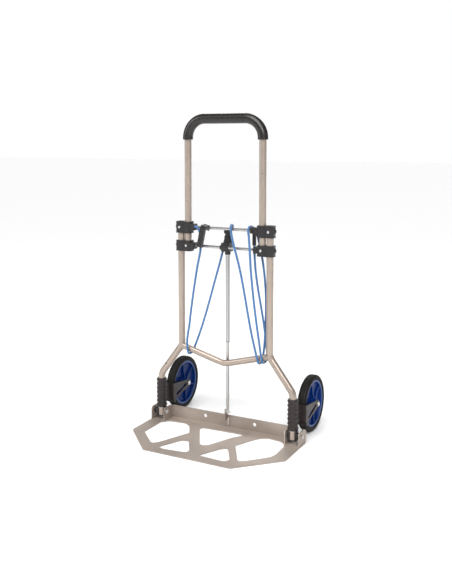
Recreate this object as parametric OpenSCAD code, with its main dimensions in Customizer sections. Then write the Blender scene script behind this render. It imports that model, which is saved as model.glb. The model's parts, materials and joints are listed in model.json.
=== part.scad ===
// Folding hand truck: a telescopic tube frame with a toe plate that folds up
// and wheels that fold in behind it. +Z is up, -Y is the load side, and the
// origin is on the floor below the middle of the toe plate's hinge line.

/* [Tubes] */
// Outside diameter of the frame and handle tubes
tube_d = 22; // [18:1:28]
// Wall of the frame and handle tubes
tube_wall = 1.5; // [1:0.25:2.5]
// Distance between the upright frame tubes, centre to centre
frame_w = 315; // [270:1:380]
// Gap between a frame tube and the handle tube beside it
tube_gap = 3.5; // [2.5:0.5:6]
// Height of the handle's grip bar above the floor
handle_h = 1000; // [900:5:1200]
// Bend radius at the top corners of the handle
handle_bend_r = 60; // [45:1:75]
// Outside diameter of the grip sleeve
grip_d = 32; // [28:1:38]
// Length of grip that runs down each handle leg, from the grip bar's centre
grip_drop = 65.5; // [62:0.5:90]

/* [Frame] */
// Distance between the vertical tube feet, centre to centre
track_w = 474; // [440:1:560]
// Height of the upper bend of each frame tube
upper_bend_z = 264; // [250:1:300]
// Height of the lower bend of each frame tube
lower_bend_z = 159; // [155:1:165]
// Bend radius of the frame tubes
frame_bend_r = 40; // [34:1:42]
// Outside diameter of the V-shaped crossbar
v_bar_d = 20; // [16:1:22]
// How far the middle of the V-shaped crossbar hangs below its ends
v_bar_drop = 42; // [20:1:50]

/* [Brackets and crossbars] */
// Underside of the upper brackets
upper_bracket_z = 635; // [600:1:700]
// Height of the upper brackets
upper_bracket_h = 37; // [32:1:44]
// Underside of the lower brackets, with the handle fully out
lower_bracket_z = 577; // [540:1:590]
// Height of the lower brackets
lower_bracket_h = 34; // [30:1:40]
// Plastic around the tubes in each bracket
bracket_wall = 4; // [3:0.5:6]
// Outside diameter of the two chromed crossbars
crossbar_d = 9.5; // [9:0.5:12]
// Diameter of the lock pins in the lower crossbar
lock_pin_d = 5; // [4:0.5:6]

/* [Push rod] */
// Distance of the push rod behind the tubes' plane
rod_y = 22; // [21:1:24]
// Outside diameter of the outer rod
outer_rod_d = 14; // [12:1:16]
// Diameter of the inner rod
inner_rod_d = 10; // [8:1:11]
// Lower end of the outer rod, with the handle fully out
outer_rod_z = 290; // [285:1:320]
// Lower end of the inner rod, with the toe plate down
inner_rod_z = 54; // [52:1:60]

/* [Toe plate] */
// Width of the toe plate
plate_w = 536; // [520:1:640]
// Reach of the toe plate in front of its hinge line
plate_reach = 250; // [200:1:320]
// How far the cut front corners come back along each side
corner_back = 122; // [80:1:150]
// How far the cut front corners come in along the front edge
corner_in = 120; // [80:1:160]
// Sheet thickness of the toe plate
plate_t = 3; // [2:0.5:4]
// Height of the hinge line above the floor
hinge_z = 30; // [29:0.5:31]
// Distance of the upright flange behind the hinge line
flange_y = 34; // [34:0.5:37]
// Height of the upright flange
flange_h = 43; // [36:1:44]
// Diameter of the two lashing holes in the flange
lash_hole_d = 12; // [8:1:14]
// Distance between the two lashing holes
lash_spacing = 180; // [120:5:220]

/* [Wheels] */
// Outside diameter of the wheels
wheel_d = 180; // [150:1:182]
// Width of the tyres
tyre_w = 28; // [22:1:30]
// Distance of the wheel centres behind the frame tubes
wheel_back = 140; // [126:1:142]
// Diameter of the axle bolts
axle_d = 10; // [8:1:12]

/* [Bungee cord] */
// Diameter of the elastic cord
cord_d = 7; // [6:0.5:7.5]

/* [Hidden] */

$fn = 48;
eps = 1;
// Thin sleeve over each joint of a straight and a bent stretch, to make one solid
lap_r = 0.02;
lap_len = 1;

champagne = [0.75, 0.69, 0.64];
black = [0.2, 0.18, 0.19];
steel = [0.8, 0.8, 0.82];
blue = [0.1, 0.2, 0.55];

// Fits: seats are close, running fits turn or slide, gaps stay open
seat = 0.05;
running = 0.08;
slide_gap = 0.3;
open_gap = 0.5;

tube_r = tube_d / 2;
bore_r = tube_r - tube_wall;
frame_x = frame_w / 2;
foot_x = track_w / 2;
leg_x = frame_x - tube_d - tube_gap;
grip_r = grip_d / 2;
v_bar_r = v_bar_d / 2;
crossbar_r = crossbar_d / 2;
cord_r = cord_d / 2;

bracket_depth = tube_d + 2 * bracket_wall;
bracket_in_x = leg_x - tube_r - bracket_wall;
bracket_out_x = frame_x + tube_r + bracket_wall;
bracket_corner = 9;
boss_len = 13;
boss_depth = 26;
boss_h = 20;
cap_r = 8;
cap_h = 4.5;
upper_bar_z = upper_bracket_z + upper_bracket_h - 17;
lower_bar_z = lower_bracket_z + lower_bracket_h / 2 + 1;
bar_seat = 8;
rivet_r = 2.5;
rivet_head_r = 4;
rivet_head_h = 2;

handle_travel = 215;
lock_half_w = 14.5;
lock_wall = 2.8;
lock_front_y = 0;
lock_chamfer = 3;
lock_wing_r = 7.5;
lock_cover_t = 3;
lock_back_y = rod_y + 11;
lock_low_z = lower_bar_z - 13;
lock_high_z = lower_bar_z + 14;
column_r = 8.5;
column_top_z = lower_bar_z + 43;
collar_r = 9.25;
collar_h = 11;
stem_r = 4.5;
knob_r = 11.5;
knob_skirt_r = 9;
knob_top_z = column_top_z + 14;
knob_plate_t = 7;
spring_r = 6;
spring_wire_r = 0.6;
spring_turns = 6;
spring_low_z = column_top_z - 18;
trigger_travel = 6;
peg_x = 8;
peg_r = 1.5;
cam_y = 4.5;
cam_t = 3;
cam_wall = 2;

foot_z = 18;
cup_low_z = 13.5;
cup_high_z = 44;
cup_wall = 3;
ear_in_x = foot_x - 21;
ear_out_x = foot_x + 26;
ear_t = 3;
ear_high_z = hinge_z + 16;
ear_front_y = -20;
hinge_bolt_r = 3;
bolt_head_r = 5.5;
bolt_head_h = 4;

sleeve_r = tube_r + 4;
sleeve_low_z = 46;
sleeve_high_z = 143;
rib_r = sleeve_r + 1;
rib_pitch = 14;
rib_h = 8;
stop_ring_h = 1.5;
wheel_r = wheel_d / 2;
wheel_x = foot_x + 3;
yoke_half_w = 24;
yoke_high_z = 112;
yoke_low_z = 46;
yoke_front = 40;
yoke_back = yoke_front + 16;
neck_half_w = 10;
neck_low_z = 62;
arm_t = 4.5;
arm_in = yoke_half_w - arm_t;
arm_tip_r = 12;
axle_r = axle_d / 2;
nut_h = 4;
hub_r = 17;
hub_half_w = arm_in - open_gap;
bush_wall = 2.5;
tyre_h = 15;
rim_r = wheel_r - tyre_h;
rim_in_r = rim_r - 9;
rim_half_w = 11;
web_t = 5;
spoke_t = 5;
spokes = 6;
tyre_round = 8;

// Route of the elastic cord, from the upper left bracket's boss, down past the
// left hook, round the V-shaped crossbar three times and over the upper
// crossbar twice, up to the right hook.
CORD = [
    [-104, -9.5, 658], [-98, -9.5, 657.6], [-83, -10.5, 638], [-80, -11, 600],
    [-92, -16, 520], [-116, -20.5, 350],
    [-128, -14.8, 258], [-127, -10, 243.2], [-124, 10, 243.2], [-120, 14.8, 256],
    [-112, 15, 275], [-38, 34, 530], [-18, 38, 600],
    [4, 40, 645], [14, 30, 661], [21, 4, 666.5], [27, -11, 658],
    [30.5, -12.3, 641], [60, -16, 540], [112, -18, 300],
    [122, -14.8, 257], [124, -10, 243], [127, 10, 243], [128, 14.8, 258],
    [129, 28, 330], [113, 23, 600], [102, 23, 640],
    [94, 19, 660], [88, 3, 666], [88, -11, 657],
    [90.5, -12.3, 640], [102, -20, 530], [132, -19, 300],
    [136.5, -14.8, 261], [138, -10, 246.6], [140.5, 10, 246.8], [141.5, 14.8, 261],
    [137, 18, 300], [99, 14, 560], [98, 12, 607]
];
cord_sides = 10;
cord_steps = 2;

// ---- Helpers -------------------------------------------------------------

function unit(v) = v / norm(v);
function leg_dir(p, i) = unit(p[i + 1] - p[i]);
function turn_angle(p, i) = acos(leg_dir(p, i - 1) * leg_dir(p, i));
function trim_len(p, i, r) = (i == 0 || i == len(p) - 1) ? 0 : r * tan(turn_angle(p, i) / 2);

// Places children with their x, y and z axes along ex, ey and ez at origin o
module place(o, ex, ey, ez) {
    multmatrix([
        [ex.x, ey.x, ez.x, o.x],
        [ex.y, ey.y, ez.y, o.y],
        [ex.z, ey.z, ez.z, o.z],
        [0, 0, 0, 1]
    ]) children();
}

// A straight round rod between two points in a plane of constant Y
module rod_between(a, b, r) {
    along = unit(b - a);
    ex = unit(cross([0, 1, 0], along));
    place(a, ex, cross(along, ex), along) cylinder(r = r, h = norm(b - a));
}

// A round rod bent through points in a plane of constant Y
module bent_rod(p, bend_r, r) {
    for (i = [0 : len(p) - 2]) {
        along = leg_dir(p, i);
        from = p[i] + along * trim_len(p, i, bend_r);
        to = p[i + 1] - along * trim_len(p, i + 1, bend_r);
        rod_between(from, to, r);
        if (i > 0) rod_between(from - along * lap_len, from + along * lap_len, r + lap_r);
        if (i < len(p) - 2) rod_between(to - along * lap_len, to + along * lap_len, r + lap_r);
    }
    for (i = [1 : len(p) - 2]) {
        into = leg_dir(p, i - 1);
        out = leg_dir(p, i);
        inward = unit(out - into * (into * out));
        centre = p[i] - into * trim_len(p, i, bend_r) + inward * bend_r;
        place(centre, -inward, into, cross(-inward, into))
            rotate_extrude(angle = turn_angle(p, i)) translate([bend_r, 0]) circle(r = r);
    }
}

// The same points with both ends run on by e, to cut a bore right through
function run_on(p, e) = [for (i = [0 : len(p) - 1])
    i == 0 ? p[0] - leg_dir(p, 0) * e
    : i == len(p) - 1 ? p[i] + leg_dir(p, i - 1) * e
    : p[i]];

module bent_tube(p, bend_r, outer_r, inner_r) {
    difference() {
        bent_rod(p, bend_r, outer_r);
        bent_rod(run_on(p, eps), bend_r, inner_r);
    }
}

// A cylinder along X between two X values
module x_rod(x0, x1, r) {
    translate([min(x0, x1), 0, 0]) rotate([0, 90, 0]) cylinder(r = r, h = abs(x1 - x0));
}

// A cylinder along Y between two Y values
module y_rod(y0, y1, r) {
    translate([0, max(y0, y1), 0]) rotate([90, 0, 0]) cylinder(r = r, h = abs(y1 - y0));
}

module box(x0, x1, y0, y1, z0, z1) {
    translate([x0, y0, z0]) cube([x1 - x0, y1 - y0, z1 - z0]);
}

// A rectangle from x0 to x1, centred on Y = 0, with round corners
module rounded_rect(x0, x1, depth, r) {
    translate([x0 + r, -depth / 2]) square([x1 - x0 - 2 * r, depth]);
    translate([x0, -depth / 2 + r]) square([x1 - x0, depth - 2 * r]);
    for (x = [x0 + r, x1 - r], y = [-depth / 2 + r, depth / 2 - r]) translate([x, y]) circle(r = r);
}

// A polygon with every corner rounded to radius r by short chords
function corner_arc(a, b, c, r, n) =
    let (u = unit(a - b), v = unit(c - b), half = acos(u * v) / 2,
         t = min(r / tan(half), norm(a - b) * 0.45, norm(c - b) * 0.45), rr = t * tan(half),
         m = b + unit(u + v) * (rr / sin(half)), s = b + u * t - m, e = b + v * t - m,
         a0 = atan2(s.y, s.x), sweep = atan2(s.x * e.y - s.y * e.x, s * e))
    [for (k = [0 : n]) m + rr * [cos(a0 + sweep * k / n), sin(a0 + sweep * k / n)]];
function rounded_points(p, r, n = 4) = [for (i = [0 : len(p) - 1])
    each corner_arc(p[(i + len(p) - 1) % len(p)], p[i], p[(i + 1) % len(p)], r, n)];

// Mirrors children to the left side when side is -1
module on_side(side) {
    mirror([side < 0 ? 1 : 0, 0, 0]) children();
}

// A smooth curve through points, with tangents weighted by the chords
function knot_slope(p, i) =
    i == 0 ? unit(p[1] - p[0])
    : i == len(p) - 1 ? unit(p[i] - p[i - 1])
    : let (a = norm(p[i] - p[i - 1]), b = norm(p[i + 1] - p[i]))
      ((p[i] - p[i - 1]) / a * b + (p[i + 1] - p[i]) / b * a) / (a + b);
function curve_point(p, i, t) =
    let (l = norm(p[i + 1] - p[i]))
    p[i] * (2 * t * t * t - 3 * t * t + 1) + knot_slope(p, i) * l * (t * t * t - 2 * t * t + t)
    + p[i + 1] * (3 * t * t - 2 * t * t * t) + knot_slope(p, i + 1) * l * (t * t * t - t * t);
function curve_points(p, steps) = [
    for (i = [0 : len(p) - 2], k = [0 : steps - 1]) curve_point(p, i, k / steps),
    p[len(p) - 1]
];

// Ring directions carried along a path, so that a swept tube doesn't twist
function path_dir(p, i) =
    i == 0 ? unit(p[1] - p[0])
    : i == len(p) - 1 ? unit(p[i] - p[i - 1])
    : unit(unit(p[i] - p[i - 1]) + unit(p[i + 1] - p[i]));
function across(v, d) = unit(v - d * (v * d));
function ring_sides(p, i, side) = i == len(p) ? []
    : let (s = across(side, path_dir(p, i))) concat([s], ring_sides(p, i + 1, s));

module swept_tube(p, r, n, first_side) {
    sides = ring_sides(p, 0, first_side);
    points = [for (i = [0 : len(p) - 1])
        let (s = sides[i], u = cross(path_dir(p, i), s))
        for (k = [0 : n - 1]) p[i] + r * (s * cos(360 * k / n) + u * sin(360 * k / n))];
    walls = [for (i = [0 : len(p) - 2], k = [0 : n - 1])
        let (a = i * n + k, b = i * n + (k + 1) % n)
        each [[a, b, b + n], [a, b + n, a + n]]];
    last = (len(p) - 1) * n;
    polyhedron(points = points, faces = concat(
        [[for (k = [0 : n - 1]) n - 1 - k]], walls, [[for (k = [0 : n - 1]) last + k]]));
}

// ---- Frame ---------------------------------------------------------------

side_tube_path = [
    [frame_x, 0, upper_bracket_z + upper_bracket_h - 4],
    [frame_x, 0, upper_bend_z],
    [foot_x, 0, lower_bend_z],
    [foot_x, 0, foot_z]
];

module side_tube(side) {
    color(champagne) on_side(side) difference() {
        bent_tube(side_tube_path, frame_bend_r, tube_r, bore_r);
        translate([0, 0, hinge_z]) x_rod(foot_x - tube_d, foot_x + tube_d, hinge_bolt_r + seat);
        translate([frame_x, 0, upper_rivet_z]) y_rod(-tube_d, tube_d, rivet_r + seat);
    }
}
module side_tube_left() { side_tube(-1); }
module side_tube_right() { side_tube(1); }

v_low_z = upper_bend_z - v_bar_drop;

module v_crossbar() {
    color(champagne) difference() {
        bent_rod([[-frame_x, 0, upper_bend_z], [0, 0, v_low_z], [frame_x, 0, upper_bend_z]], 70, v_bar_r);
        for (side = [-1, 1]) on_side(side) bent_rod(side_tube_path, frame_bend_r, tube_r + seat);
    }
}

// One bracket around both tubes of a side: fixed on one, sliding on the other
module bracket(low_z, h, fixed_x, sliding_x, bar_z, rivet_z) {
    difference() {
        union() {
            translate([0, 0, low_z]) linear_extrude(h)
                rounded_rect(bracket_in_x, bracket_out_x, bracket_depth, bracket_corner);
            translate([0, 0, bar_z - boss_h / 2]) linear_extrude(boss_h)
                rounded_rect(bracket_in_x - boss_len, bracket_in_x + bracket_wall, boss_depth, 4);
            translate([0, 0, bar_z]) x_rod(bracket_out_x - bracket_wall, bracket_out_x + 1, cap_r);
        }
        translate([fixed_x, 0, low_z - eps]) cylinder(r = tube_r + seat, h = h + 2 * eps);
        translate([sliding_x, 0, low_z - eps]) cylinder(r = tube_r + slide_gap, h = h + 2 * eps);
        translate([0, 0, bar_z]) x_rod(bracket_in_x - boss_len - eps, bracket_in_x - boss_len + bar_seat,
            crossbar_r + seat);
        translate([fixed_x, 0, rivet_z]) y_rod(-bracket_depth, bracket_depth, rivet_r + seat);
        children();
    }
}

upper_rivet_z = upper_bracket_z + upper_bracket_h / 2;
lower_rivet_z = lower_bracket_z + lower_bracket_h / 2 + 1;

module upper_bracket(side) {
    color(black) on_side(side)
        bracket(upper_bracket_z, upper_bracket_h, frame_x, leg_x, upper_bar_z, upper_rivet_z);
}
module upper_bracket_left() { upper_bracket(-1); }
module upper_bracket_right() { upper_bracket(1); }

// Blind rivets from the front and the back of a bracket into its tube's wall
module bracket_rivets(x, z) {
    color(steel) for (side = [-1, 1], face = [-1, 1]) translate([side * x, 0, z]) {
        y_rod(face * (bore_r - 1), face * bracket_depth / 2, rivet_r);
        y_rod(face * bracket_depth / 2, face * (bracket_depth / 2 + rivet_head_h), rivet_head_r);
    }
}
module upper_bracket_rivets() { bracket_rivets(frame_x, upper_rivet_z); }

bar_end_x = bracket_in_x - boss_len + bar_seat;

module upper_crossbar() {
    color(steel) translate([0, 0, upper_bar_z]) x_rod(-bar_end_x, bar_end_x, crossbar_r);
}

module dome_cap(z) {
    base_x = bracket_out_x + 1;
    ball_r = (cap_r * cap_r + cap_h * cap_h) / (2 * cap_h);
    for (side = [-1, 1]) on_side(side) translate([base_x, 0, z]) intersection() {
        x_rod(0, cap_h, cap_r);
        translate([cap_h - ball_r, 0, 0]) sphere(r = ball_r);
    }
}
module upper_crossbar_caps() { color(black) dome_cap(upper_bar_z); }

// Plastic shoe round the foot of a frame tube, which also spaces the ears
module hinge_cup(side) {
    in_x = foot_x - tube_r - seat - cup_wall;
    out_x = foot_x + tube_r + seat + cup_wall;
    color(black) on_side(side) difference() {
        union() {
            box(in_x, out_x, 2 - tube_r, tube_r, cup_low_z, cup_high_z);
            translate([0, 0, hinge_z]) x_rod(ear_in_x + ear_t + slide_gap, ear_out_x - slide_gap, 9);
        }
        translate([foot_x, 0, foot_z]) cylinder(r = tube_r + seat, h = cup_high_z);
        box(foot_x - tube_r * 0.85, foot_x + tube_r * 0.85, -tube_d, 0, foot_z, cup_high_z + eps);
        translate([0, 0, hinge_z]) x_rod(ear_in_x - eps, ear_out_x + eps, hinge_bolt_r + seat);
    }
}
module hinge_cup_left() { hinge_cup(-1); }
module hinge_cup_right() { hinge_cup(1); }

module hinge_bolt(side) {
    color(steel) on_side(side) translate([0, 0, hinge_z]) {
        x_rod(ear_in_x - slide_gap, ear_out_x + ear_t + slide_gap + nut_h, hinge_bolt_r);
        x_rod(ear_in_x - slide_gap - bolt_head_h, ear_in_x - slide_gap, bolt_head_r);
    }
}
module hinge_bolt_left() { hinge_bolt(-1); }
module hinge_bolt_right() { hinge_bolt(1); }

module hinge_nuts() {
    nut_x = ear_out_x + ear_t + slide_gap;
    color(steel) for (side = [-1, 1]) on_side(side) translate([nut_x, 0, hinge_z]) rotate([0, 90, 0])
        difference() {
            cylinder(r = bolt_head_r, h = nut_h, $fn = 6);
            translate([0, 0, -eps]) cylinder(r = hinge_bolt_r + seat, h = nut_h + 2 * eps);
        }
}

// Split rings under the fork sleeves, which stop them sliding down
module fork_stop_rings() {
    color(steel) for (side = [-1, 1]) translate([side * foot_x, 0, sleeve_low_z - slide_gap - stop_ring_h])
        difference() {
            cylinder(r = sleeve_r - 1, h = stop_ring_h);
            translate([0, 0, -eps]) cylinder(r = tube_r + seat, h = stop_ring_h + 2 * eps);
        }
}

// ---- Handle --------------------------------------------------------------

leg_low_z = lower_bracket_z + 3;
handle_path = [
    [-leg_x, 0, leg_low_z],
    [-leg_x, 0, handle_h],
    [leg_x, 0, handle_h],
    [leg_x, 0, leg_low_z]
];

module handle_tube() {
    color(champagne) difference() {
        bent_tube(handle_path, handle_bend_r, tube_r, bore_r);
        for (side = [-1, 1]) on_side(side) {
            translate([0, 0, lower_bar_z]) x_rod(leg_x - tube_d, leg_x + tube_d, lock_pin_d / 2 + slide_gap);
            translate([leg_x, 0, lower_rivet_z]) y_rod(-tube_d, tube_d, rivet_r + seat);
        }
    }
}

module handle_grip() {
    grip_path = [
        [-leg_x, 0, handle_h - grip_drop],
        [-leg_x, 0, handle_h],
        [leg_x, 0, handle_h],
        [leg_x, 0, handle_h - grip_drop]
    ];
    color(black) bent_tube(grip_path, handle_bend_r, grip_r, tube_r + seat);
}

module lower_bracket(side) {
    color(black) on_side(side)
        bracket(lower_bracket_z, lower_bracket_h, leg_x, frame_x, lower_bar_z, lower_rivet_z)
            translate([0, 0, lower_bar_z])
                x_rod(bracket_in_x - boss_len - eps, leg_x + tube_r + tube_gap, lock_pin_d / 2 + slide_gap);
}
module lower_bracket_left() { lower_bracket(-1); }
module lower_bracket_right() { lower_bracket(1); }
module lower_bracket_rivets() { bracket_rivets(leg_x, lower_rivet_z); }

// The lower crossbar's two halves are tubes, with a lock pin inside each
module lower_crossbar(side) {
    color(steel) on_side(side) translate([0, 0, lower_bar_z]) difference() {
        x_rod(lock_half_w - lock_wall + seat, bar_end_x, crossbar_r);
        x_rod(0, bar_end_x + eps, lock_pin_d / 2 + slide_gap);
    }
}
module lower_crossbar_left() { lower_crossbar(-1); }
module lower_crossbar_right() { lower_crossbar(1); }
module lower_crossbar_caps() { color(black) dome_cap(lower_bar_z); }

// Plan of the lock's box with chamfered front corners, drawn in by d
function lock_plan(d) =
    let (k = d * (sqrt(2) - 1), x = lock_half_w - d, y = lock_front_y + lock_chamfer + k, c = lock_chamfer + k - d)
    [[-x, lock_back_y], [-x, y], [c - x, lock_front_y + d], [x - c, lock_front_y + d], [x, y], [x, lock_back_y]];

module lock_housing() {
    color(black) difference() {
        union() {
            translate([0, 0, lock_low_z]) linear_extrude(lock_high_z - lock_low_z) polygon(lock_plan(0));
            translate([0, 0, lower_bar_z]) x_rod(-lock_half_w, lock_half_w, lock_wing_r);
            translate([0, rod_y, lock_low_z - collar_h]) cylinder(r = collar_r, h = collar_h + eps);
            translate([0, rod_y, lock_high_z - eps])
                cylinder(r = column_r, h = column_top_z - lock_high_z + eps);
        }
        translate([0, 0, lock_low_z + lock_wall]) linear_extrude(lock_high_z - lock_low_z - 2 * lock_wall)
            polygon(lock_plan(lock_wall));
        box(-lock_half_w - eps, lock_half_w + eps, lock_back_y - lock_cover_t, lock_back_y + eps,
            lock_low_z, lock_high_z);
        translate([0, rod_y, lock_low_z - collar_h - eps])
            cylinder(r = outer_rod_d / 2 + seat, h = collar_h + eps);
        translate([0, rod_y, lock_high_z - lock_wall - eps])
            cylinder(r = stem_r + slide_gap, h = column_top_z);
        translate([0, rod_y, spring_low_z]) cylinder(r = spring_r + spring_wire_r + 0.3, h = column_top_z);
        translate([0, 0, lower_bar_z]) x_rod(-lock_half_w - eps, lock_half_w + eps, crossbar_r + seat);
        for (x = [-1, 1]) translate([x * screw_x, 0, screw_z])
            y_rod(lock_back_y - lock_cover_t - screw_len, lock_back_y, screw_r + seat);
    }
}

screw_r = 1.2;
screw_len = 8;
screw_x = lock_half_w - 1.45;
screw_z = lower_bar_z + 9;
screw_head_r = 2.6;
screw_head_h = 1.5;

module lock_cover() {
    color(black) difference() {
        box(-lock_half_w, lock_half_w, lock_back_y - lock_cover_t, lock_back_y, lock_low_z, lock_high_z);
        for (x = [-1, 1]) translate([x * screw_x, 0, screw_z])
            y_rod(lock_back_y - 2 * lock_cover_t, lock_back_y + eps, screw_r + seat);
    }
}

module lock_screws() {
    color(steel) for (x = [-1, 1]) translate([x * screw_x, 0, screw_z]) {
        y_rod(lock_back_y - lock_cover_t - screw_len, lock_back_y, screw_r);
        y_rod(lock_back_y, lock_back_y + screw_head_h, screw_head_r);
    }
}

module outer_rod() {
    color(steel) translate([0, rod_y, outer_rod_z]) difference() {
        cylinder(r = outer_rod_d / 2, h = lock_low_z - outer_rod_z);
        translate([0, 0, -eps]) cylinder(r = rod_bore_r, h = lock_low_z);
    }
}

rod_bore_r = outer_rod_d / 2 - 1;
rod_bush_h = 18;

// Plastic bush in the outer rod's mouth, which guides the inner rod
module rod_bush() {
    color(black) translate([0, rod_y, outer_rod_z - 1.5]) difference() {
        union() {
            translate([0, 0, 1.5]) cylinder(r = rod_bore_r - seat, h = rod_bush_h);
            cylinder(r = outer_rod_d / 2, h = 1.5);
        }
        translate([0, 0, -eps]) cylinder(r = inner_rod_d / 2 + running, h = rod_bush_h + 4);
    }
}

// Knob, stem and the cam plate that draws both lock pins in
module release_trigger() {
    slot_r = peg_r + 0.2;
    slot_half = trigger_travel / sqrt(2);
    cam_half_w = peg_x + slot_r + 1.6;
    cam_low_z = lower_bar_z - slot_r - cam_wall;
    cam_high_z = lower_bar_z + trigger_travel + slot_r + cam_wall;
    color(black) difference() {
        union() {
            box(-cam_half_w, cam_half_w, cam_y, cam_y + cam_t, cam_low_z, cam_high_z);
            box(-4, 4, cam_y + cam_t - eps, rod_y, cam_high_z - 6, cam_high_z);
            translate([0, rod_y, cam_high_z - 6]) cylinder(r = stem_r, h = knob_top_z - cam_high_z + 4);
            translate([0, rod_y, column_top_z]) difference() {
                cylinder(r = knob_r, h = knob_top_z - column_top_z);
                translate([0, 0, -eps])
                    cylinder(r = knob_skirt_r, h = knob_top_z - column_top_z - knob_plate_t + eps);
            }
        }
        for (side = [-1, 1]) {
            for (k = [0, trigger_travel]) translate([side * (peg_x - k), 0, lower_bar_z + k])
                y_rod(cam_y - eps, cam_y + cam_t + eps, slot_r);
            translate([side * (peg_x - trigger_travel / 2), 0, lower_bar_z + trigger_travel / 2])
                rotate([0, side * 45, 0])
                    box(-slot_half, slot_half, cam_y - eps, cam_y + cam_t + eps, -slot_r, slot_r);
        }
    }
}

module trigger_spring() {
    span = knob_top_z - knob_plate_t - spring_low_z - 2 * spring_wire_r;
    per_turn = 10;
    coil = [for (k = [0 : spring_turns * per_turn])
        [spring_r * cos(360 * k / per_turn), spring_r * sin(360 * k / per_turn),
         span * k / (spring_turns * per_turn)]];
    color(steel) translate([0, rod_y, spring_low_z + spring_wire_r + 0.1])
        swept_tube([for (c = coil) [c.x, c.y, c.z * 0.98]], spring_wire_r, 6, [0, 0, 1]);
}

pin_tip_x = leg_x + tube_r + tube_gap / 2 - 0.5;

module lock_pin(side) {
    color(steel) on_side(side) {
        translate([0, 0, lower_bar_z]) x_rod(peg_x - peg_r - 0.3, pin_tip_x, lock_pin_d / 2);
        translate([peg_x, 0, lower_bar_z]) y_rod(0, cam_y + cam_t + slide_gap, peg_r);
    }
}
module lock_pin_left() { lock_pin(-1); }
module lock_pin_right() { lock_pin(1); }

// ---- Toe plate -----------------------------------------------------------

half_w = plate_w / 2;
window_x = half_w - 43;
window_back = 5;
window_front = 35 - plate_reach;
function window(p) = [for (q = p) [window_x * q.x, window_back + (window_front - window_back) * q.y]];

// Corners of the five windows: x as a share of the window field's half width,
// y from its back edge to its front edge
WINDOWS = [
    [[-1, 0.59], [-1, 0.14], [-0.91, 0.045], [-0.645, 0.02], [-0.545, 0.09], [-0.40, 0.34],
     [-0.60, 0.84], [-0.665, 0.91], [-0.71, 0.885]],
    [[-0.525, 0.99], [-0.365, 0.635], [-0.26, 0.605], [-0.08, 0.90], [-0.09, 0.985], [-0.42, 1.02]],
    [[-0.355, 0.12], [-0.34, 0.06], [0.16, 0.036], [0.34, 0.045], [0.22, 0.22], [0.055, 0.62],
     [-0.02, 0.66], [-0.075, 0.625]],
    [[0.10, 0.99], [0.26, 0.65], [0.34, 0.585], [0.54, 0.925], [0.50, 1.01]],
    [[0.385, 0.45], [0.49, 0.195], [0.575, 0.045], [0.67, -0.01], [0.865, 0.015], [0.975, 0.105],
     [0.985, 0.155], [1, 0.485], [0.975, 0.595], [0.74, 0.865], [0.67, 0.91], [0.625, 0.875]]
];

module ear(x, t, back_y) {
    profile = rounded_points([[back_y, 0], [back_y, ear_high_z - 8], [back_y - 14, ear_high_z],
        [ear_front_y, ear_high_z], [ear_front_y, 6], [ear_front_y - 6, 0]], 8, 5);
    translate([x, 0, 0]) rotate([90, 0, 90]) linear_extrude(t) polygon(profile);
}

module toe_plate() {
    back_y = flange_y + plate_t;
    outline = [[-half_w, back_y], [-half_w, corner_back - plate_reach], [corner_in - half_w, -plate_reach],
        [half_w - corner_in, -plate_reach], [half_w, corner_back - plate_reach], [half_w, back_y]];
    color(champagne) difference() {
        union() {
            linear_extrude(plate_t) difference() {
                polygon(rounded_points(outline, 14));
                for (w = WINDOWS) polygon(rounded_points(window(w), 7));
            }
            box(-ear_in_x, ear_in_x, flange_y, back_y, 0, flange_h);
            for (side = [-1, 1]) on_side(side) {
                ear(ear_in_x, ear_t, back_y);
                ear(ear_out_x, ear_t, back_y - 1);
            }
        }
        for (side = [-1, 1]) {
            on_side(side) translate([0, 0, hinge_z])
                x_rod(ear_in_x - eps, ear_out_x + ear_t + eps, hinge_bolt_r + running);
            translate([side * lash_spacing / 2, 0, lash_z]) y_rod(flange_y - eps, back_y + eps, lash_hole_d / 2);
            on_side(side) box(ear_in_x + ear_t, ear_out_x, 13, back_y + eps, -eps, plate_t + eps);
        }
        for (z = bracket_rivet_z) translate([bracket_x, 0, z])
            y_rod(flange_y - eps, back_y + eps, rivet_small_r + seat);
    }
}

lash_z = 26;
bracket_x = -3;
bracket_rivet_z = [14, 22, 30];
rivet_small_r = 1.5;
bracket_t = 2;
pivot_z = 58;

// Angle bracket on the flange, with the ear that the push rod's foot pivots on
module rod_bracket() {
    ear_x = bracket_x - 6;
    color(steel) difference() {
        union() {
            box(ear_x, bracket_x + 5, flange_y - bracket_t, flange_y, 9, flange_h - 3);
            box(ear_x, ear_x + bracket_t, rod_y - 6, flange_y, 30, pivot_z + 7);
        }
        translate([0, rod_y, pivot_z]) x_rod(ear_x - eps, ear_x + bracket_t + eps, 3.2);
        for (z = bracket_rivet_z) translate([bracket_x, 0, z])
            y_rod(flange_y - 2 * bracket_t, flange_y + eps, rivet_small_r + seat);
    }
}

module rod_bracket_rivets() {
    front_y = flange_y - bracket_t;
    back_y = flange_y + plate_t;
    color(steel) for (z = bracket_rivet_z) translate([bracket_x, 0, z]) {
        y_rod(front_y, back_y, rivet_small_r);
        y_rod(front_y - 1.2, front_y, rivet_small_r + 1);
        y_rod(back_y, back_y + 1, rivet_small_r + 1);
    }
}

// ---- Inner push rod ------------------------------------------------------

rod_end_gap = 3;
inner_rod_top = lock_low_z - handle_travel - rod_end_gap;
eye_h = 14;

module inner_rod() {
    color(steel) translate([0, rod_y, inner_rod_z + eye_h])
        cylinder(r = inner_rod_d / 2, h = inner_rod_top - inner_rod_z - eye_h);
}

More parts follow.
